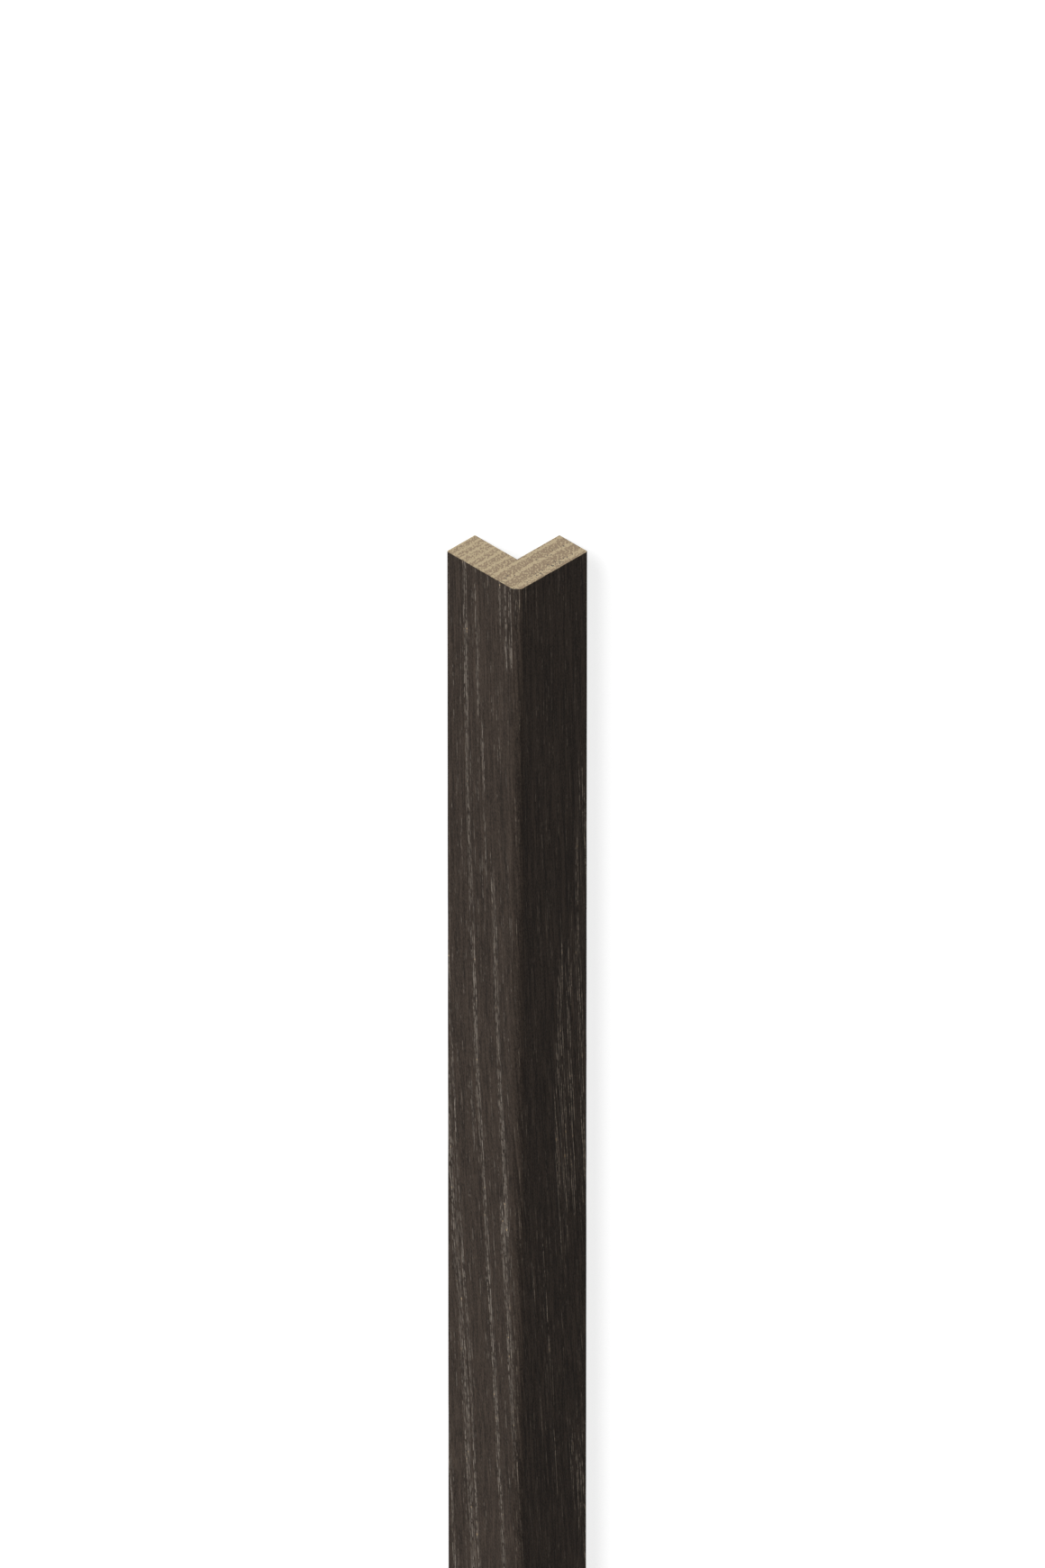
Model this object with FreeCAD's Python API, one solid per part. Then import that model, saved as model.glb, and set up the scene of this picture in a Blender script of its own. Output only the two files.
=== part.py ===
"""Corner guard moulding: one length of solid oak, milled to an angle with two equal legs.

The moulding lies as it would on a level floor, with its rounded show corner up,
so it rests on the sharp back edges of its two leg tips. X runs across it, Y
along its length and Z up. The origin is on the floor, at the middle of the
length and midway between the leg tips.
"""

import FreeCAD
import Part
import math
import os

# Driving dimensions, in millimetres
leg_width = 25.0  # width of a show face, from the outer corner to the leg's tip
leg_thickness = 10.0  # from a leg's show face to its back face
show_corner_radius = 2.4  # rounding of the outer corner, which hands and bags meet
arris_radius = 0.3  # sanding of the sharp edge where a show face meets its leg's tip
stock_length = 1220.0  # the 4 ft length in which corner guards are sold

# Worked out from them
leg_slope = 45.0  # degrees that each leg of a square angle slopes when its corner is up
tip_drop = (leg_width + leg_thickness) * math.sin(math.radians(leg_slope))
same_place = 0.001  # two points that are nearer than this are one point


def section_corner(along_one_leg, along_other_leg):
    """A corner of the section at mid-length, measured from the sharp outer corner along each leg."""
    return FreeCAD.Vector(along_one_leg, 0, -along_other_leg)


outer_corner = section_corner(0, 0)
inner_corner = section_corner(leg_thickness, leg_thickness)
first_tip_front = section_corner(leg_width, 0)
first_tip_back = section_corner(leg_width, leg_thickness)
second_tip_front = section_corner(0, leg_width)
second_tip_back = section_corner(leg_thickness, leg_width)


def sawn_angle():
    """The angle as it leaves the saw, with every edge sharp, one leg level and the other hanging."""
    outline = [
        outer_corner,
        first_tip_front,
        first_tip_back,
        inner_corner,
        second_tip_back,
        second_tip_front,
        outer_corner,
    ]
    section = Part.Face(Part.makePolygon(outline))
    section.translate(FreeCAD.Vector(0, -stock_length / 2, 0))
    return section.extrude(FreeCAD.Vector(0, stock_length, 0))


def round_long_edges(stock, corners, radius):
    """The stock with the lengthwise edges at the given corners of its section rounded."""
    edges = [
        edge
        for edge in stock.Edges
        for corner in corners
        if edge.CenterOfMass.isEqual(corner, same_place)
    ]
    return stock.makeFillet(radius, edges)


def milled_angle():
    """The sawn angle with its show corner rounded over and the front edges of its leg tips sanded."""
    stock = sawn_angle()
    stock = round_long_edges(stock, [outer_corner], show_corner_radius)
    return round_long_edges(stock, [first_tip_front, second_tip_front], arris_radius)


def corner_guard():
    """The milled angle laid on the floor, show corner up, resting on its two leg tips."""
    moulding = milled_angle()
    moulding.rotate(outer_corner, FreeCAD.Vector(0, 1, 0), leg_slope)
    moulding.translate(FreeCAD.Vector(0, 0, tip_drop))
    return moulding


os.makedirs("parts", exist_ok=True)
moulding = corner_guard()
moulding.exportStep("parts/corner_guard.step")
print("corner_guard", moulding.isValid(), round(moulding.Volume, 1), moulding.BoundBox)
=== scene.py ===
import math

import bmesh
import bpy
from mathutils import Matrix, Vector


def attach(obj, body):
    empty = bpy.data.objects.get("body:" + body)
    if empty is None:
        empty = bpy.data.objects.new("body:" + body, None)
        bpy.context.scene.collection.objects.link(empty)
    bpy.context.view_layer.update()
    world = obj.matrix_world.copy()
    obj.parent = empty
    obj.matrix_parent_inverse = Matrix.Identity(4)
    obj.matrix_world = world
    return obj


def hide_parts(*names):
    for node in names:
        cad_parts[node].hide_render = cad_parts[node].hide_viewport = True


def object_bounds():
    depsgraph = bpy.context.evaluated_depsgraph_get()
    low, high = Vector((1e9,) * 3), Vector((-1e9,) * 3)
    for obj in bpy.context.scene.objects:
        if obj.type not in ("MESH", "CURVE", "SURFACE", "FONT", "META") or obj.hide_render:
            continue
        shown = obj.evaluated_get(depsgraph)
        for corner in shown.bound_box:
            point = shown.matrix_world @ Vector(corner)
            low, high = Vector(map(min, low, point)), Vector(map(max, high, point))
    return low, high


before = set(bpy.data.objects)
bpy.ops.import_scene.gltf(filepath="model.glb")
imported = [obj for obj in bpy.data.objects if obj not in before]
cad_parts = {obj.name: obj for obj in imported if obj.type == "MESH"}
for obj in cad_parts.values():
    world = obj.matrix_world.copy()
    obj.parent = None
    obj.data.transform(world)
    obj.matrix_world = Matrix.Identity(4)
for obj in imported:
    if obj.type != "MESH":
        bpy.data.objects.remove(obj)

cad_low, cad_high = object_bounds()

# The moulding's sizes, in metres
mm = 0.001
leg_width = 25 * mm
leg_thickness = 10 * mm
show_corner_radius = 2.4 * mm
arris_radius = 0.3 * mm
stock_length = cad_high.y - cad_low.y

# The section stands on its two leg tips, with its sharp outer corner straight above the origin
half_right_angle = math.pi / 4
corner_height = (leg_width + leg_thickness) * math.sin(half_right_angle)
near_corner = Vector((0, cad_low.y, corner_height))
down_edge_grain_leg = Vector((math.cos(half_right_angle), 0, -math.sin(half_right_angle)))
down_flat_grain_leg = Vector((-math.cos(half_right_angle), 0, -math.sin(half_right_angle)))
down_the_stock = Vector((0, 1, 0))

# The mesh that carries the brushed relief: its columns, its rows, and the steps of its rounded edges
show_face_column = 0.28 * mm
tip_column = 0.4 * mm
back_column = 1.0 * mm
rows_first_pass = 20
rows_second_pass = 18
show_corner_steps = 12
arris_steps = 3
smooth_under = math.radians(40)

# How near two places, lengths or directions are that count as the same
same_place = 0.001 * mm
same_line = 0.01 * mm
same_length_digits = 7
same_direction = 0.999
end_direction = 0.9

# The photograph: an isometric view, 1160 by 1740 pixels
photo_width = 1160
photo_height = 1740
pixels_per_metre = 4430
corner_pixel_x = 574.1
corner_pixel_y = 656.6
isometric_elevation = math.atan(1 / math.sqrt(2))
long_lens = 1000
sensor_size = 36

# The studio
light_distance = 3
light_angle = math.radians(36)
key_direction = Vector((0.50, -0.71, 0.55))
key_strength = 1.12
fill_direction = Vector((0, 0.95, 0.3))
fill_strength = 0.25
ambient_strength = 0.10
floor_size = 60
floor_colour = 0.42
floor_lift = 0.80


def make_camera():
    """Looks at the near end as the photograph does, with the stock running down the picture."""
    towards_camera = Vector((0, -math.sin(isometric_elevation), math.cos(isometric_elevation)))
    picture_right = Vector((-1, 0, 0))
    picture_up = towards_camera.cross(picture_right)
    aim = near_corner.copy()
    aim += picture_right * (photo_width / 2 - corner_pixel_x) / pixels_per_metre
    aim -= picture_up * (photo_height / 2 - corner_pixel_y) / pixels_per_metre
    distance = photo_height / pixels_per_metre * long_lens / sensor_size
    lens = bpy.data.cameras.new("camera")
    lens.lens = long_lens
    lens.sensor_width = sensor_size
    lens.clip_end = distance * 3
    camera = bpy.data.objects.new("camera", lens)
    bpy.context.collection.objects.link(camera)
    turn = Matrix((picture_right, picture_up, towards_camera)).transposed()
    camera.matrix_world = Matrix.Translation(aim + towards_camera * distance) @ turn.to_4x4()
    bpy.context.scene.camera = camera


def make_soft_light(name, direction, strength):
    """A large soft light that is far off in a direction, so it falls alike along the whole moulding."""
    lamp = bpy.data.lights.new(name, "SUN")
    lamp.energy = strength * math.pi
    lamp.angle = light_angle
    light = bpy.data.objects.new(name, lamp)
    bpy.context.collection.objects.link(light)
    light.location = direction.normalized() * light_distance
    light.rotation_mode = "QUATERNION"
    light.rotation_quaternion = direction.to_track_quat("Z", "Y")


def join_value(tree, socket, value):
    """Feeds a socket from another socket, or sets a plain value on it."""
    if isinstance(value, bpy.types.NodeSocket):
        tree.links.new(value, socket)
    else:
        socket.default_value = value


def maths(tree, operation, *values):
    """One step of arithmetic on numbers."""
    node = tree.nodes.new("ShaderNodeMath")
    node.operation = operation
    for socket, value in zip(node.inputs, values):
        join_value(tree, socket, value)
    return node.outputs[0]


def vector_maths(tree, operation, first, second):
    """One step of arithmetic on places."""
    node = tree.nodes.new("ShaderNodeVectorMath")
    node.operation = operation
    join_value(tree, node.inputs[0], first)
    join_value(tree, node.inputs[1], second)
    return node.outputs["Value"] if operation == "DOT_PRODUCT" else node.outputs["Vector"]


def fade(tree, value, from_value, to_value):
    """0 where the value is from_value, 1 where it is to_value, with a soft change between them."""
    node = tree.nodes.new("ShaderNodeMapRange")
    node.interpolation_type = "SMOOTHSTEP"
    join_value(tree, node.inputs["Value"], value)
    low, high = sorted((from_value, to_value))
    node.inputs["From Min"].default_value = low
    node.inputs["From Max"].default_value = high
    node.inputs["To Min"].default_value = 0 if from_value < to_value else 1
    node.inputs["To Max"].default_value = 1 if from_value < to_value else 0
    return node.outputs[0]


def stretched(tree, grain, across, up):
    """Grain coordinates scaled so that a pattern's unit is so many millimetres across and up the trunk."""
    return vector_maths(tree, "MULTIPLY", grain, (1 / across, 1 / across, 1 / up))


def noise(tree, place, detail, roughness=0.5):
    """Soft noise from 0 to 1, about a unit from peak to peak."""
    node = tree.nodes.new("ShaderNodeTexNoise")
    join_value(tree, node.inputs["Vector"], place)
    node.inputs["Scale"].default_value = 1
    node.inputs["Detail"].default_value = detail
    node.inputs["Roughness"].default_value = roughness
    return node.outputs[0]


def noise_vector(tree, place):
    """Soft noise with three components from 0 to 1."""
    node = tree.nodes.new("ShaderNodeTexNoise")
    join_value(tree, node.inputs["Vector"], place)
    node.inputs["Scale"].default_value = 1
    node.inputs["Detail"].default_value = 1
    return node.outputs["Color"]


def cells(tree, place):
    """Scattered points, one to a unit: how far the nearest is, and a random colour for it."""
    node = tree.nodes.new("ShaderNodeTexVoronoi")
    join_value(tree, node.inputs["Vector"], place)
    node.inputs["Scale"].default_value = 1
    return node.outputs["Distance"], node.outputs["Color"]


def separate(tree, vector):
    """The three parts of a vector."""
    node = tree.nodes.new("ShaderNodeSeparateXYZ")
    join_value(tree, node.inputs[0], vector)
    return node.outputs[0], node.outputs[1], node.outputs[2]


def combine(tree, x, y, z):
    """A vector from its three parts."""
    node = tree.nodes.new("ShaderNodeCombineXYZ")
    join_value(tree, node.inputs[0], x)
    join_value(tree, node.inputs[1], y)
    join_value(tree, node.inputs[2], z)
    return node.outputs[0]


def leg_coordinates(tree, place):
    """Millimetres down the edge-grain leg, the flat-grain leg and the stock, from its near corner."""
    from_corner = vector_maths(tree, "SUBTRACT", place, near_corner)
    edge_leg = vector_maths(tree, "DOT_PRODUCT", from_corner, down_edge_grain_leg / mm)
    flat_leg = vector_maths(tree, "DOT_PRODUCT", from_corner, down_flat_grain_leg / mm)
    stock = vector_maths(tree, "DOT_PRODUCT", from_corner, down_the_stock / mm)
    return edge_leg, flat_leg, stock


# How the trunk's grain runs off the stock's own line, in millimetres
grain_run_off = 0.0425
grain_wave = 1.72
grain_wave_length = 76.4
grain_wander = 1.6
wander_width = 14
wander_length = 95


def grain_coordinates(tree, place):
    """Millimetres across the rings, along them and up the trunk, and round the section over the strands."""
    edge_leg, flat_leg, stock = leg_coordinates(tree, place)
    wave = maths(tree, "SINE", maths(tree, "DIVIDE", stock, grain_wave_length))
    wave = maths(tree, "MULTIPLY", wave, grain_wave)
    drift = maths(tree, "SUBTRACT", maths(tree, "MULTIPLY", stock, grain_run_off), wave)
    slow = stretched(tree, combine(tree, edge_leg, flat_leg, stock), wander_width, wander_length)
    wander_across, wander_along = separate(tree, noise_vector(tree, slow))[:2]
    wander_across = maths(tree, "MULTIPLY_ADD", wander_across, grain_wander, -grain_wander / 2)
    wander_along = maths(tree, "MULTIPLY_ADD", wander_along, grain_wander, -grain_wander / 2)
    across = maths(tree, "ADD", maths(tree, "ADD", edge_leg, drift), wander_across)
    along = maths(tree, "ADD", maths(tree, "SUBTRACT", flat_leg, drift), wander_along)
    girth = maths(tree, "SUBTRACT", across, flat_leg)
    return combine(tree, across, along, stock), girth


# Lines of open pores on the edge-grain leg, in millimetres: where each lies across the rings, its
# half width, where it starts and ends down the stock, and how open it is
open_lines = [
    (2.6, 0.5, -20, 27, 1.8),
    (4.3, 0.5, -20, 29, 1.8),
    (6.2, 0.6, -20, 14, 1.2),
    (15.0, 0.5, -20, 48, 1.2),
    (19.1, 0.8, -20, 470, 1.1),
    (13.4, 0.5, 44, 98, 1.1),
    (11.2, 0.9, 88, 205, 1.0),
    (12.7, 1.1, 190, 330, 1.0),
    (21.7, 0.5, 155, 184, 0.8),
    (28.2, 0.6, 95, 330, 1.0),
    (30.3, 1.3, 150, 600, 0.8),
    (37.0, 0.7, 240, 900, 0.8),
    (44.5, 1.2, 380, 1000, 0.7),
    (51.5, 0.6, 560, 1300, 0.9),
    (58.5, 1.4, 700, 1300, 0.7),
    (66.0, 0.7, 860, 1300, 0.8),
    (72.5, 1.0, 1040, 1300, 0.8),
]

# Patches of open pores on the flat-grain leg, where a ring comes up to the face, in millimetres: the
# middle and half width along the rings, the middle and half length down the stock, and how open
open_patches = [
    (0.9, 0.6, 3, 14, 1.0),
    (2.9, 0.6, 3, 14, 1.2),
    (21.5, 3.5, 95, 42, 0.8),
    (16.5, 8.0, 160, 50, 1.0),
    (7.8, 0.6, 182, 30, 1.5),
    (10.0, 0.8, 178, 30, 1.5),
    (14.2, 0.9, 170, 32, 1.4),
    (-2.8, 0.45, 240, 40, 0.7),
    (1.3, 0.45, 245, 42, 1.2),
    (9.5, 4.0, 330, 70, 0.7),
    (0.0, 3.0, 445, 90, 0.7),
    (-8.0, 6.0, 560, 60, 0.9),
    (-13.0, 4.0, 700, 80, 0.8),
    (-27.0, 5.0, 830, 55, 0.8),
    (-24.0, 4.0, 965, 80, 0.8),
    (-36.0, 6.0, 1095, 60, 0.9),
    (-29.0, 3.5, 1190, 70, 0.8),
]

# Where the lines and patches fade, in millimetres: the soft edge and the soft end of a line, how far
# down the edge-grain leg its lines set in, and how far round onto that leg the patches reach
line_edge = 0.3
line_end = 6
lines_set_in = (0.2, 1.4)
patches_stop = (3, 1)

# A patch's ragged rim: the noise that is added to the square of the way out, and where the sum fades
patch_raggedness = 2.0
patch_rim = (2.2, 1.5)


def between(tree, value, low, high, edge):
    """1 between two values and 0 outside them, with a soft edge of the given width inside each."""
    return maths(tree, "MULTIPLY", fade(tree, value, low, low + edge), fade(tree, value, high, high - edge))


def short_of(tree, value, limit, margins):
    """0 where a value is the first margin short of a limit, and 1 where it is the second margin short."""
    return fade(tree, value, limit - margins[0], limit - margins[1])


def openness(tree, grain, edge_leg):
    """How far the brushing opened the pores, from 0 for closed ones."""
    across, along, up = separate(tree, grain)
    opened = 0.0
    for place, half_width, start, end, amount in open_lines:
        line = between(tree, across, place - half_width, place + half_width, line_edge)
        line = maths(tree, "MULTIPLY", line, between(tree, up, start, end, line_end))
        opened = maths(tree, "MAXIMUM", opened, maths(tree, "MULTIPLY", line, amount))
    opened = maths(tree, "MULTIPLY", opened, fade(tree, edge_leg, *lines_set_in))

    ragged = noise(tree, stretched(tree, grain, across=1.5, up=40), detail=1)
    near_flat_face = fade(tree, edge_leg, *patches_stop)
    for place, half_width, middle, half_length, amount in open_patches:
        off_middle = maths(tree, "DIVIDE", maths(tree, "SUBTRACT", along, place), half_width)
        off_centre = maths(tree, "DIVIDE", maths(tree, "SUBTRACT", up, middle), half_length)
        outwards = maths(tree, "MULTIPLY", off_centre, off_centre)
        outwards = maths(tree, "MULTIPLY_ADD", off_middle, off_middle, outwards)
        patch = fade(tree, maths(tree, "MULTIPLY_ADD", ragged, patch_raggedness, outwards), *patch_rim)
        patch = maths(tree, "MULTIPLY", patch, near_flat_face)
        opened = maths(tree, "MAXIMUM", opened, maths(tree, "MULTIPLY", patch, amount))
    return opened


def principled(name, roughness, specular):
    """A new material, and its tree, its shader and the place that its patterns read."""
    material = bpy.data.materials.new(name)
    material.use_nodes = True
    tree = material.node_tree
    shader = tree.nodes["Principled BSDF"]
    shader.inputs["Roughness"].default_value = roughness
    shader.inputs["Specular IOR Level"].default_value = specular
    place = tree.nodes.new("ShaderNodeTexCoord").outputs["Object"]
    return material, tree, shader, place


def tint(tree, amount, from_colour, to_colour):
    """One colour fading to another as the amount goes from 0 to 1."""
    node = tree.nodes.new("ShaderNodeMix")
    node.data_type = "RGBA"
    join_value(tree, node.inputs["Factor"], amount)
    for socket, colour in ((node.inputs[6], from_colour), (node.inputs[7], to_colour)):
        join_value(tree, socket, colour if isinstance(colour, bpy.types.NodeSocket) else (*colour, 1))
    return node.outputs[2]


def dent(tree, shader, height, depth):
    """Gives a shader the fine relief of a height field, whose 0 to 1 stands for a depth in metres."""
    bump = tree.nodes.new("ShaderNodeBump")
    bump.inputs["Strength"].default_value = 1
    bump.inputs["Distance"].default_value = depth
    join_value(tree, bump.inputs["Height"], height)
    tree.links.new(bump.outputs["Normal"], shader.inputs["Normal"])


# Colours of the stained faces
dark_stain = (0.0215, 0.0165, 0.0135)
brown_stain = (0.0695, 0.0525, 0.0415)
pore_shadow = (0.0160, 0.0130, 0.0110)
worn_fibre = (0.120, 0.094, 0.072)
pale_filler = (0.200, 0.171, 0.144)
warm_filler = (0.320, 0.262, 0.210)
bare_fleck = (0.50, 0.36, 0.22)

# Strands of pores up the trunk: their spacing, and how far and how slowly they weave, in millimetres
strand_spacing = 0.62
strand_weave = 0.9
weave_width = 5
weave_length = 30

# Noise that each strand has for itself: its unit up the trunk in millimetres, and its row of the noise
strand_sway = (11, 3.5)
strand_dashes = (4.5, 0.5)
strand_presence = (38, 8.5)
strand_grit = (1.4, 5.5)
strand_to_strand = 7.31

# What that noise does to a strand: its sway, in strand spacings, and the factor on its thickness
sway_gain = 1.5
most_sway = 0.2
least_thickness = 0.4
thickness_gain = 1.2

# Where a strand shows, by its dashes and its presence, how much brushing adds to each of the two, and
# how strongly a strand shows where the brushing left it closed
dashes_show = (0.48, 0.62)
strand_shows = (0.48, 0.60)
opened_adds_dashes = 0.14
opened_adds_strands = 0.11
flat_grain_adds_fewer = 0.02
fully_open = 0.6
closed_strength = 0.42
flat_grain_closed_less = 0.10


def strands(tree, girth, up, opened, flat_grain):
    """How far off the middle of a strand of pores a place is, how open it is there, and its grit."""
    weave_place = (maths(tree, "DIVIDE", girth, weave_width), 0.0, maths(tree, "DIVIDE", up, weave_length))
    weave = noise(tree, combine(tree, *weave_place), detail=1)
    place = maths(tree, "DIVIDE", maths(tree, "MULTIPLY_ADD", weave, strand_weave, girth), strand_spacing)
    own = maths(tree, "MULTIPLY", maths(tree, "FLOOR", place), strand_to_strand)

    def along_each(unit_and_row, detail=1):
        unit, row = unit_and_row
        return noise(tree, combine(tree, own, row, maths(tree, "DIVIDE", up, unit)), detail, roughness=0.6)

    sway = maths(tree, "SUBTRACT", along_each(strand_sway), 0.5)
    sway = maths(tree, "MULTIPLY", sway, sway_gain)
    sway = maths(tree, "MINIMUM", maths(tree, "MAXIMUM", sway, -most_sway), most_sway)
    off_middle = maths(tree, "SUBTRACT", maths(tree, "FRACT", place), 0.5)
    off_middle = maths(tree, "SUBTRACT", off_middle, sway)
    dashes = along_each(strand_dashes, detail=2)
    thickness = maths(tree, "MULTIPLY_ADD", dashes, thickness_gain, least_thickness)
    off_middle = maths(tree, "DIVIDE", maths(tree, "ABSOLUTE", off_middle), thickness)

    open_here = fade(tree, maths(tree, "MULTIPLY_ADD", opened, opened_adds_dashes, dashes), *dashes_show)
    crowding = maths(tree, "MULTIPLY_ADD", flat_grain, -flat_grain_adds_fewer, opened_adds_strands)
    crowding = maths(tree, "MULTIPLY", opened, crowding)
    present = fade(tree, maths(tree, "ADD", crowding, along_each(strand_presence)), *strand_shows)
    closed = maths(tree, "MULTIPLY_ADD", flat_grain, -flat_grain_closed_less, closed_strength)
    strength = maths(tree, "MAXIMUM", fade(tree, opened, 0, fully_open), closed)
    lit = maths(tree, "MULTIPLY", maths(tree, "MULTIPLY", open_here, present), strength)
    return off_middle, lit, along_each(strand_grit)


# Rubbed edges: how far from each the stain is whole and how near it is gone, in millimetres, and the
# noise of the fibres between which it comes off
arris_wear = (0.45, 0.1)
back_edge_wear = (0.3, 0)
tip_back_wear = (0.5, 0)
rim_wear = (0.35, 0.05)
fibres_wear = (0.4, 0.65)


def edge_wear(tree, place, fibres):
    """How far handling has rubbed the stain off the sharp long edges and the ends' rims, from 0 to 1."""
    edge_leg, flat_leg, stock = leg_coordinates(tree, place)
    further_down = maths(tree, "MAXIMUM", edge_leg, flat_leg)
    behind_show_face = maths(tree, "MINIMUM", edge_leg, flat_leg)
    front_arris = short_of(tree, further_down, leg_width / mm, arris_wear)
    front_arris = maths(tree, "MULTIPLY", front_arris, fade(tree, behind_show_face, *arris_wear))
    back_edge = short_of(tree, further_down, leg_width / mm, back_edge_wear)
    by_the_back = short_of(tree, behind_show_face, leg_thickness / mm, tip_back_wear)
    back_edge = maths(tree, "MULTIPLY", back_edge, by_the_back)
    far_rim = short_of(tree, stock, stock_length / mm, rim_wear)
    rim = maths(tree, "MAXIMUM", fade(tree, stock, *rim_wear), far_rim)
    rubbed = maths(tree, "MAXIMUM", maths(tree, "MAXIMUM", front_arris, back_edge), rim)
    return maths(tree, "MULTIPLY", rubbed, fade(tree, fibres, *fibres_wear))


# How much each pattern sways the stain's tone, and what is taken off to keep the mean in place
fibre_contrast = 1.9
broad_contrast = 0.4
fleck_contrast = 1.0
speckle_contrast = 1.3
tone_shift = 1.89

# The livelier tone of the flat-grain leg: what is added to the contrast, and its own bands
mean_tone = 0.42
flat_grain_contrast = 0.3
band_contrast = 1.6
band_shift = 0.76


def stain_tone(tree, grain, fibres, flat_grain):
    """The stain's tone, from 0 for dark to 1 for brown."""
    flecks = noise(tree, stretched(tree, grain, across=0.5, up=6), detail=2, roughness=0.7)
    speckle = noise(tree, stretched(tree, grain, across=0.30, up=0.7), detail=1, roughness=0.6)
    broad = noise(tree, stretched(tree, grain, across=4.5, up=70), detail=2)
    tone = maths(tree, "MULTIPLY", broad, broad_contrast)
    tone = maths(tree, "MULTIPLY_ADD", fibres, fibre_contrast, tone)
    tone = maths(tree, "MULTIPLY_ADD", flecks, fleck_contrast, tone)
    tone = maths(tree, "SUBTRACT", tone, tone_shift)
    tone = maths(tree, "MULTIPLY_ADD", speckle, speckle_contrast, tone)

    bands = noise(tree, stretched(tree, grain, across=1.1, up=60), detail=2, roughness=0.6)
    bands = maths(tree, "MULTIPLY_ADD", bands, band_contrast, -band_shift)
    livelier = maths(tree, "MULTIPLY", maths(tree, "SUBTRACT", tone, mean_tone), flat_grain_contrast)
    livelier = maths(tree, "ADD", livelier, bands)
    return maths(tree, "MULTIPLY_ADD", livelier, flat_grain, tone)


# How far down the edge-grain leg, in millimetres, the flat-grain leg's look stops and sets in
flat_grain_look = (1.6, 0.4)

# Where short streaks of filler show by their noise, and how strongly
streaks_show = (0.46, 0.60)
streak_strength = 0.42
flat_grain_streaks_less = 0.34

# How far off a strand's middle its dark shadow sets in and its filled pores reach, in spacings of the
# strands for one of middling thickness, and how strong the shadow is
shadow_sets_in = (0.26, 0.4)
pores_reach = (0.30, 0.15)
shadow_strength = 0.6

# By a strand's grit: where filler is left in its pores, where bare wood sparks, and how much filler
# is left at least on the flat-grain leg
filler_stays = (0.34, 0.62)
wood_sparks = (0.69, 0.75)
flat_grain_filler = 0.45

# Fine relief of the stained faces: its depth, and the share of it that the fibres get
stain_relief = 0.03 * mm
fibre_relief = 0.5


def stained_oak():
    """Brushed oak under a black-brown stain, its open pores holding a paler filler."""
    material, tree, shader, place = principled("brushed_stained_oak", roughness=0.6, specular=0.04)
    opened = tree.nodes.new("ShaderNodeAttribute")
    opened.attribute_name = "openness"
    opened = opened.outputs["Fac"]
    grain, girth = grain_coordinates(tree, place)
    up = separate(tree, grain)[2]
    flat_grain = fade(tree, leg_coordinates(tree, place)[0], *flat_grain_look)
    fibres = noise(tree, stretched(tree, grain, across=0.7, up=50), detail=3, roughness=0.75)
    colour = tint(tree, stain_tone(tree, grain, fibres, flat_grain), dark_stain, brown_stain)

    filler = tint(tree, flat_grain, pale_filler, warm_filler)
    streaks = noise(tree, stretched(tree, grain, across=0.40, up=2.6), detail=2, roughness=0.6)
    streaks = fade(tree, streaks, *streaks_show)
    streaks = maths(tree, "MULTIPLY", streaks, maths(tree, "MINIMUM", opened, 1.0))
    strength = maths(tree, "MULTIPLY_ADD", flat_grain, -flat_grain_streaks_less, streak_strength)
    colour = tint(tree, maths(tree, "MULTIPLY", streaks, strength), colour, filler)

    off_middle, lit, grit = strands(tree, girth, up, opened, flat_grain)
    beside = maths(tree, "MULTIPLY", fade(tree, off_middle, *shadow_sets_in), lit)
    colour = tint(tree, maths(tree, "MULTIPLY", beside, shadow_strength), colour, pore_shadow)
    pores = maths(tree, "MULTIPLY", fade(tree, off_middle, *pores_reach), lit)
    whole = maths(tree, "MULTIPLY", flat_grain, flat_grain_filler)
    whole = maths(tree, "MAXIMUM", fade(tree, grit, *filler_stays), whole)
    colour = tint(tree, maths(tree, "MULTIPLY", pores, whole), colour, filler)
    sparks = maths(tree, "MULTIPLY", fade(tree, grit, *wood_sparks), opened)
    colour = tint(tree, maths(tree, "MULTIPLY", pores, sparks), colour, bare_fleck)
    colour = tint(tree, edge_wear(tree, place, fibres), colour, worn_fibre)
    join_value(tree, shader.inputs["Base Color"], colour)

    height = maths(tree, "SUBTRACT", maths(tree, "MULTIPLY", fibres, fibre_relief), pores)
    dent(tree, shader, height, stain_relief)
    return material


# Colours of the bare wood and of pores that drew in stain
sapwood = (0.500, 0.406, 0.262)
earlywood = (0.295, 0.222, 0.150)
stained_pore = (0.085, 0.078, 0.076)

# Planed faces: the noise of the fibres between which the wood goes from brown to pale, and its relief
planed_fibres = (0.3, 0.7)
planed_relief = 0.03 * mm


def raw_oak():
    """Oak as it leaves the planer, on the faces that go against the wall."""
    material, tree, shader, place = principled("raw_oak", roughness=0.7, specular=0.25)
    grain = grain_coordinates(tree, place)[0]
    fibres = noise(tree, stretched(tree, grain, across=0.6, up=25), detail=3, roughness=0.65)
    colour = tint(tree, fade(tree, fibres, *planed_fibres), earlywood, sapwood)
    join_value(tree, shader.inputs["Base Color"], colour)
    dent(tree, shader, fibres, planed_relief)
    return material


# Rings of the end cut per millimetre of the edge-grain leg: at the corner, and what each millimetre
# adds; then, in millimetres, where the first pale ring lies and how far and how slowly rings bend
rings_at_corner = 0.22
rings_gained = 0.00525
first_pale_ring = 1.5
ring_bend = 1.6
bend_down_edge_leg = 5
bend_down_flat_leg = 7

# Brown flecks of the end cut: the units of their noise in the sum and in the difference of the
# millimetres down the two legs, the level above which it is a fleck, and the softness of that
fleck_sum_unit = 1.1
fleck_difference_unit = 0.7
fleck_level = 0.64
fleck_edge = 0.08

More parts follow.
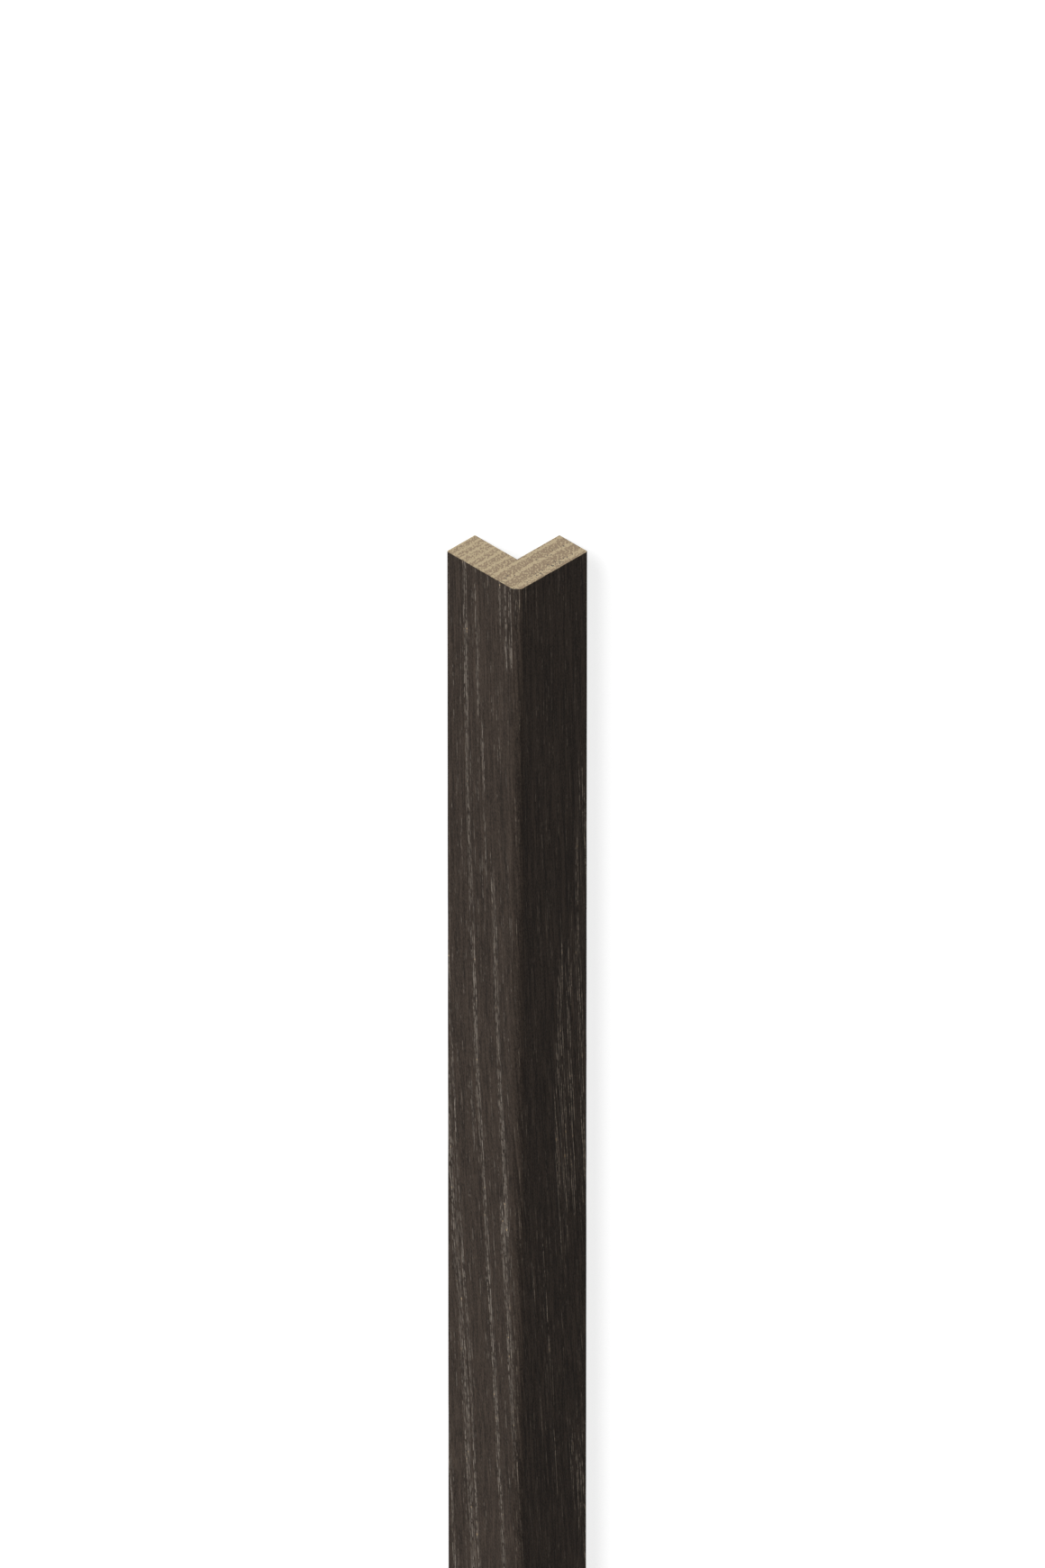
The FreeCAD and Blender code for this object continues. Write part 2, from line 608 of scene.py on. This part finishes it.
# How they crowd: the shares of a ring off its pale middle, and the millimetres down the edge-grain
# leg, between which they come to crowd, and how far each lowers the level
pores_band_place = (0.08, 0.2)
by_corner_place = (22, 4)
pores_band_crowds = 0.15
by_corner_crowds = 0.05


def brown_flecks(tree, edge_leg, flat_leg, section):
    """1 on the end cut's brown flecks, which crowd in each ring's band of pores, and 0 on pale wood."""
    slow = vector_maths(tree, "MULTIPLY", section, (1 / bend_down_edge_leg, 1 / bend_down_flat_leg, 0))
    bend = noise(tree, slow, detail=2, roughness=0.6)
    bent_leg = maths(tree, "SUBTRACT", edge_leg, ring_bend / 2 + first_pale_ring)
    bent_leg = maths(tree, "MULTIPLY_ADD", bend, ring_bend, bent_leg)
    rings = maths(tree, "MULTIPLY_ADD", bent_leg, rings_gained, rings_at_corner)
    ring = maths(tree, "FRACT", maths(tree, "MULTIPLY_ADD", rings, bent_leg, 0.5))
    pores_band = maths(tree, "ABSOLUTE", maths(tree, "SUBTRACT", ring, 0.5))
    pores_band = fade(tree, pores_band, *pores_band_place)

    diagonal = maths(tree, "DIVIDE", maths(tree, "ADD", edge_leg, flat_leg), fleck_sum_unit)
    off_diagonal = maths(tree, "SUBTRACT", edge_leg, flat_leg)
    off_diagonal = maths(tree, "DIVIDE", off_diagonal, fleck_difference_unit)
    flecks = noise(tree, combine(tree, diagonal, off_diagonal, 0.0), detail=2, roughness=0.6)
    crowding = fade(tree, edge_leg, *by_corner_place)
    crowding = maths(tree, "MULTIPLY_ADD", crowding, by_corner_crowds, -fleck_level)
    crowding = maths(tree, "MULTIPLY_ADD", pores_band, pores_band_crowds, crowding)
    return fade(tree, maths(tree, "ADD", flecks, crowding), -fleck_edge, fleck_edge)


# Pores of the end cut that drew in stain: the size of a pore's cell, where the two rows of them lie
# down the edge-grain leg, and where the first row crowds down the other leg, each with its soft edge
pore_cell = 0.6
first_row_place = (0.6, 3.2, 0.5)
second_row_place = (5.0, 7.0, 0.5)
crowded_place = (7, 20, 2)

# The share of pores that drew in stain, in the first row, where that row crowds and in the second row
first_row_share = 0.12
crowded_adds = 0.60
second_row_share = 0.22

# How surely a pore is a stained one, and how far off its middle it reaches, in cells
drew_stain = (0.99, 1.02)
pore_reaches = (0.42, 0.30)


def stained_pores(tree, edge_leg, flat_leg, section):
    """1 in the few pores of the end cut that drew in stain, in two rows by the flat-grain leg's face."""
    in_cells = vector_maths(tree, "MULTIPLY", section, (1 / pore_cell, 1 / pore_cell, 0))
    off_pore, random = cells(tree, in_cells)
    chance = separate(tree, random)[0]
    crowded = between(tree, flat_leg, *crowded_place)
    crowded = maths(tree, "MULTIPLY_ADD", crowded, crowded_adds, first_row_share)
    first_row = maths(tree, "MULTIPLY", between(tree, edge_leg, *first_row_place), crowded)
    second_row = maths(tree, "MULTIPLY", between(tree, edge_leg, *second_row_place), second_row_share)
    likely = maths(tree, "MAXIMUM", first_row, second_row)
    stained = fade(tree, maths(tree, "ADD", likely, chance), *drew_stain)
    return maths(tree, "MULTIPLY", fade(tree, off_pore, *pore_reaches), stained)


# How strongly those pores show on the sawn ends, and how deep the brown flecks lie in them
stained_pore_strength = 0.9
sawn_relief = 0.02 * mm


def end_grain_oak():
    """The sawn ends, where each ring shows a band of pores and a paler band of dense wood."""
    material, tree, shader, place = principled("end_grain_oak", roughness=0.75, specular=0.1)
    edge_leg, flat_leg = leg_coordinates(tree, place)[:2]
    section = combine(tree, edge_leg, flat_leg, 0.0)
    brown = brown_flecks(tree, edge_leg, flat_leg, section)
    colour = tint(tree, brown, sapwood, earlywood)
    dark = maths(tree, "MULTIPLY", stained_pores(tree, edge_leg, flat_leg, section), stained_pore_strength)
    colour = tint(tree, dark, colour, stained_pore)
    join_value(tree, shader.inputs["Base Color"], colour)
    dent(tree, shader, maths(tree, "SUBTRACT", 1.0, brown), sawn_relief)
    return material


def in_edit_mode(piece):
    """The mesh of the piece under edit, with nothing selected."""
    mesh = bmesh.from_edit_mesh(piece.data)
    for part in (*mesh.verts, *mesh.edges, *mesh.faces):
        part.select = False
    return mesh


def select(piece, kind, wanted):
    """Selects in edit mode the faces or edges that a test picks out."""
    bpy.ops.mesh.select_mode(type="FACE" if kind == "faces" else "EDGE")
    mesh = in_edit_mode(piece)
    for part in getattr(mesh, kind):
        if wanted(part):
            part.select_set(True)
    bmesh.update_edit_mesh(piece.data)


def down_both_legs(place):
    """How far a place lies down the edge-grain leg and down the flat-grain leg."""
    from_corner = place - near_corner
    return from_corner.dot(down_edge_grain_leg), from_corner.dot(down_flat_grain_leg)


def middle_of(edge):
    """The middle of an edge."""
    return (edge.verts[0].co + edge.verts[1].co) / 2


def facing(direction):
    """A test for faces that look in a direction."""
    return lambda face: face.normal.dot(direction) > same_direction


def inside_the_bar(place):
    """Whether a place lies no further down either leg than the legs are thick."""
    return max(down_both_legs(place)) < leg_thickness + same_place


def along_the_stock(edge):
    """Whether an edge runs along the stock."""
    run = (edge.verts[0].co - edge.verts[1].co).normalized()
    return abs(run.dot(down_the_stock)) > same_direction


def on_line(down_one_leg, down_other_leg):
    """A test for the long edge that is so far down each leg from the sharp corner."""
    line = near_corner + down_edge_grain_leg * down_one_leg + down_flat_grain_leg * down_other_leg

    def is_there(edge):
        off_line = (middle_of(edge) - line).cross(down_the_stock).length
        return along_the_stock(edge) and off_line < same_line

    return is_there


def saw_angle():
    """A square bar under the outer corner, with a leg drawn out of each of its two lower faces."""
    bar_height = corner_height - leg_thickness * math.sin(half_right_angle)
    bpy.ops.mesh.primitive_cube_add(
        size=1,
        location=(0, near_corner.y + stock_length / 2, bar_height),
        rotation=(0, half_right_angle, 0),
        scale=(leg_thickness, stock_length, leg_thickness),
    )
    piece = bpy.context.object
    piece.name = "oak_angle"
    bpy.ops.object.transform_apply(location=True, rotation=True, scale=True)
    bpy.ops.object.mode_set(mode="EDIT")
    for leg in (down_edge_grain_leg, down_flat_grain_leg):
        looks_down_leg = facing(leg)
        select(
            piece, "faces",
            lambda face: looks_down_leg(face) and inside_the_bar(face.calc_center_median()),
        )
        drawn_out = leg * (leg_width - leg_thickness)
        bpy.ops.mesh.extrude_region_move(TRANSFORM_OT_translate={"value": drawn_out})
    return piece


def mill_edges(piece):
    """Rounds the show corner over and takes the sharpness off the front edges of the leg tips."""
    cuts = (
        (on_line(0, 0), show_corner_radius, show_corner_steps),
        (on_line(leg_width, 0), arris_radius, arris_steps),
        (on_line(0, leg_width), arris_radius, arris_steps),
    )
    for edge_to_cut, radius, steps in cuts:
        select(piece, "edges", edge_to_cut)
        bpy.ops.mesh.bevel(offset=radius, offset_type="OFFSET", segments=steps, affect="EDGES")


def columns_across(edge):
    """How many columns a strip of the surface needs, from the edge that closes its end."""
    behind_show_face, further_down = sorted(down_both_legs(middle_of(edge)))
    if behind_show_face < same_place:
        column = show_face_column
    elif further_down > leg_width - same_place:
        column = tip_column
    else:
        column = back_column
    return max(1, round(edge.calc_length() / column))


def rounded_length(edge):
    """An edge's length, rounded so that equal ones compare as equal."""
    return round(edge.calc_length(), same_length_digits)


def divide_surface(piece):
    """Divides the long faces into narrow columns and short rows, as a bed for the brushed relief."""
    for end in (-down_the_stock, down_the_stock):
        select(piece, "faces", facing(end))
        bpy.ops.mesh.delete(type="FACE")
    lengths = {}
    for edge in in_edit_mode(piece).edges:
        if not along_the_stock(edge):
            lengths.setdefault(columns_across(edge), set()).add(rounded_length(edge))
    for columns in sorted(set(lengths) - {1}):
        select(
            piece, "edges",
            lambda edge: not along_the_stock(edge) and rounded_length(edge) in lengths[columns],
        )
        bpy.ops.mesh.subdivide(number_cuts=columns - 1)
    for rows in (rows_first_pass, rows_second_pass):
        select(piece, "edges", along_the_stock)
        bpy.ops.mesh.subdivide(number_cuts=rows - 1)


def on_rim(end_place):
    """A test for the open edges at one end of the stock."""
    def is_there(edge):
        at_the_end = [abs(vertex.co.y - end_place) < same_place for vertex in edge.verts]
        return edge.is_boundary and all(at_the_end)

    return is_there


def close_ends(piece):
    """Closes both ends of the divided tube with the flat cut of the saw."""
    for end_place in (cad_low.y, cad_high.y):
        select(piece, "edges", on_rim(end_place))
        bpy.ops.mesh.edge_face_add()


# How deep the brushing goes, by the fibres of the soft grain
pore_depth = 0.09 * mm
fibre_depth = 0.04 * mm
soft_fibres = (0.35, 0.7)
pore_fibres = (0.3, 0.6)

# Where it stops short of the back faces and gets lighter at the leg tips, in millimetres, and by how much
back_margin = (0.2, 1.5)
tip_margin = (1.0, 0.2)
lost_at_tips = 0.7


def brushed_depth(tree, grain, opened, edge_leg, flat_leg):
    """How deep the brushing wore a place, in metres."""
    fibres = noise(tree, stretched(tree, grain, across=0.9, up=30), detail=2)
    soft_grain = maths(tree, "MULTIPLY", fade(tree, fibres, *soft_fibres), fibre_depth)
    depth = maths(tree, "MULTIPLY", fade(tree, fibres, *pore_fibres), pore_depth)
    depth = maths(tree, "MULTIPLY", opened, depth)
    depth = maths(tree, "ADD", soft_grain, depth)
    behind_show_face = maths(tree, "MINIMUM", edge_leg, flat_leg)
    off_the_back = short_of(tree, behind_show_face, leg_thickness / mm, back_margin)
    depth = maths(tree, "MULTIPLY", depth, off_the_back)
    further_down = maths(tree, "MAXIMUM", edge_leg, flat_leg)
    at_the_tips = short_of(tree, further_down, leg_width / mm, tip_margin)
    return maths(tree, "MULTIPLY", depth, maths(tree, "MULTIPLY_ADD", at_the_tips, -lost_at_tips, 1.0))


def brush_grain(piece):
    """Wears the show faces inwards and notes how open their pores are, by geometry nodes, then applied."""
    tree = bpy.data.node_groups.new("brush_the_grain", "GeometryNodeTree")
    for direction in ("INPUT", "OUTPUT"):
        tree.interface.new_socket("Geometry", in_out=direction, socket_type="NodeSocketGeometry")
    start = tree.nodes.new("NodeGroupInput")
    end = tree.nodes.new("NodeGroupOutput")
    place = tree.nodes.new("GeometryNodeInputPosition").outputs[0]
    normal = tree.nodes.new("GeometryNodeInputNormal").outputs[0]
    edge_leg, flat_leg = leg_coordinates(tree, place)[:2]
    grain = grain_coordinates(tree, place)[0]
    opened = openness(tree, grain, edge_leg)
    depth = brushed_depth(tree, grain, opened, edge_leg, flat_leg)
    inwards = vector_maths(tree, "MULTIPLY", normal, (-1, 0, -1))
    inwards = vector_maths(tree, "MULTIPLY", inwards, combine(tree, depth, depth, depth))
    note = tree.nodes.new("GeometryNodeStoreNamedAttribute")
    note.data_type = "FLOAT"
    note.domain = "POINT"
    note.inputs["Name"].default_value = "openness"
    move = tree.nodes.new("GeometryNodeSetPosition")
    join_value(tree, note.inputs["Geometry"], start.outputs[0])
    join_value(tree, note.inputs["Value"], opened)
    join_value(tree, move.inputs["Geometry"], note.outputs[0])
    join_value(tree, move.inputs["Offset"], inwards)
    join_value(tree, end.inputs[0], move.outputs[0])
    modifier = piece.modifiers.new("brush_the_grain", "NODES")
    modifier.node_group = tree
    bpy.ops.object.modifier_apply(modifier=modifier.name)


def is_back(face):
    """Whether a face is one of the two that go against the wall."""
    return min(down_both_legs(face.calc_center_median())) > leg_thickness - same_line


def is_end(face):
    """Whether a face is one of the two sawn ends."""
    return abs(face.normal.dot(down_the_stock)) > end_direction


def finish_surfaces(piece):
    """Stains the show faces and tips, and leaves the back faces planed and the ends sawn."""
    for material in (stained_oak(), raw_oak(), end_grain_oak()):
        piece.data.materials.append(material)
    bpy.ops.object.mode_set(mode="EDIT")
    for slot, is_its_own in ((1, is_back), (2, is_end)):
        select(piece, "faces", is_its_own)
        piece.active_material_index = slot
        bpy.ops.object.material_slot_assign()
    bpy.ops.object.mode_set(mode="OBJECT")


def make_angle():
    """The whole moulding: sawn, milled, brushed and finished."""
    bpy.ops.object.select_all(action="DESELECT")
    piece = saw_angle()
    mill_edges(piece)
    divide_surface(piece)
    close_ends(piece)
    bpy.ops.object.mode_set(mode="OBJECT")
    brush_grain(piece)
    finish_surfaces(piece)
    bpy.ops.object.shade_smooth_by_angle(angle=smooth_under)
    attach(piece, "root")
    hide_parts("corner_guard")


def background_rays(tree):
    """1 for rays that see the background itself, from the camera or by reflection, and 0 for light."""
    path = tree.nodes.new("ShaderNodeLightPath")
    seen = maths(tree, "MAXIMUM", path.outputs["Is Camera Ray"], path.outputs["Is Glossy Ray"])
    return maths(tree, "MAXIMUM", seen, path.outputs["Is Transmission Ray"])


def make_floor():
    """A pale floor that keeps the moulding's soft shadow, lifted to white where nothing shades it."""
    bpy.ops.object.select_all(action="DESELECT")
    bpy.ops.mesh.primitive_plane_add(size=floor_size)
    floor = bpy.context.object
    floor.name = "pale_floor"
    material = bpy.data.materials.new("pale_floor")
    material.use_nodes = True
    tree = material.node_tree
    shader = tree.nodes["Principled BSDF"]
    shader.inputs["Base Color"].default_value = (floor_colour, floor_colour, floor_colour, 1)
    shader.inputs["Roughness"].default_value = 0.9
    shader.inputs["Specular IOR Level"].default_value = 0
    shader.inputs["Emission Color"].default_value = (1, 1, 1, 1)
    lift = maths(tree, "MULTIPLY", background_rays(tree), floor_lift)
    join_value(tree, shader.inputs["Emission Strength"], lift)
    floor.data.materials.append(material)


def make_world():
    """White where the camera or a reflection sees it, and a weaker soft light from all round."""
    world = bpy.data.worlds.new("studio")
    world.use_nodes = True
    tree = world.node_tree
    background = tree.nodes["Background"]
    background.inputs["Color"].default_value = (1, 1, 1, 1)
    seen = background_rays(tree)
    strength = maths(tree, "MULTIPLY_ADD", seen, 1 - ambient_strength, ambient_strength)
    join_value(tree, background.inputs["Strength"], strength)
    bpy.context.scene.world = world


make_camera()
make_floor()
make_world()
make_soft_light("key_light", key_direction, key_strength)
make_soft_light("fill_light", fill_direction, fill_strength)
bpy.context.scene.view_settings.view_transform = "Standard"
make_angle()
